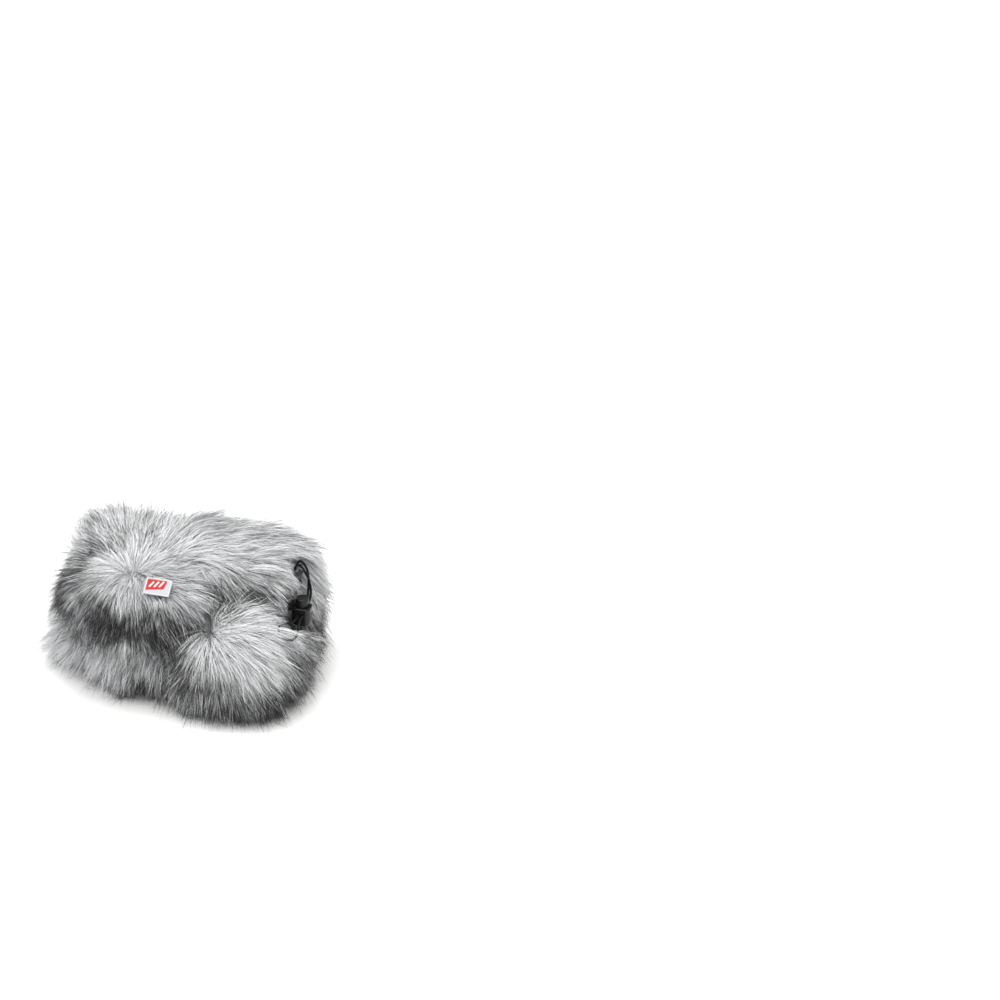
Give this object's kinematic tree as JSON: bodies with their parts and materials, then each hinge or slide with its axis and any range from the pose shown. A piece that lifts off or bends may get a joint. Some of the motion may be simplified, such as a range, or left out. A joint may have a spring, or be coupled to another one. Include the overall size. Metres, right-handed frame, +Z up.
{
  "type": "furry windscreen",
  "caption": "Long-haired fur sleeve that pulls over a tubular microphone basket to cut wind noise, folded flat in runs, with a drawcord mouth, a sprung cord lock and a sewn label.",
  "frame": {"origin": "middle of the folded bundle's underside", "axes": "+X along the runs of the fold towards the open mouth, +Y away from the label side, +Z up"},
  "size_m": [0.2617, 0.19, 0.1434],
  "materials": {
    "fur_pile": "matte",
    "knit_backing": "matte",
    "seam_tape": "matte",
    "hem_webbing": "matte",
    "eyelet_metal": "satin",
    "sewing_thread": "satin",
    "drawcord": "satin",
    "lock_plastic": "gloss",
    "plunger_plastic": "satin",
    "spring_steel": "satin",
    "label_weave": "satin",
    "label_border": "satin",
    "label_red": "satin",
    "label_white": "satin"
  },
  "bodies": {
    "sleeve": {"body_fur_pile": "fur_pile", "nose_fur_pile": "fur_pile", "body_knit_backing": "knit_backing", "nose_knit_backing": "knit_backing", "long_seam_tape": "seam_tape", "end_seam_tape": "seam_tape", "mouth_hem_channel": "hem_webbing", "hem_eyelets": "eyelet_metal", "hem_stitches": "sewing_thread", "drawcord_in_hem": "drawcord", "drawcord": "drawcord", "label_ribbon": "label_weave", "label_woven_border": "label_border", "label_red_field": "label_red", "label_white_motif": "label_white", "label_tack_stitches": "sewing_thread"},
    "cord_lock": {"cord_lock_body": "lock_plastic", "cord_lock_spring": "spring_steel"},
    "plunger": {"cord_lock_plunger": "plunger_plastic"}
  },
  "joints": [
    {"name": "lock_slide", "type": "slide", "parent": "sleeve", "child": "cord_lock", "axis": [0, -1, 0], "range_m": [-0.006, 0.004]},
    {"name": "plunger_press", "type": "slide", "parent": "cord_lock", "child": "plunger", "axis": [0, 0, -1], "range_m": [0, 0.0038], "stiffness_N_per_m": 900, "springref_m": -0.004, "deforming": ["cord_lock_spring"]}
  ]
}
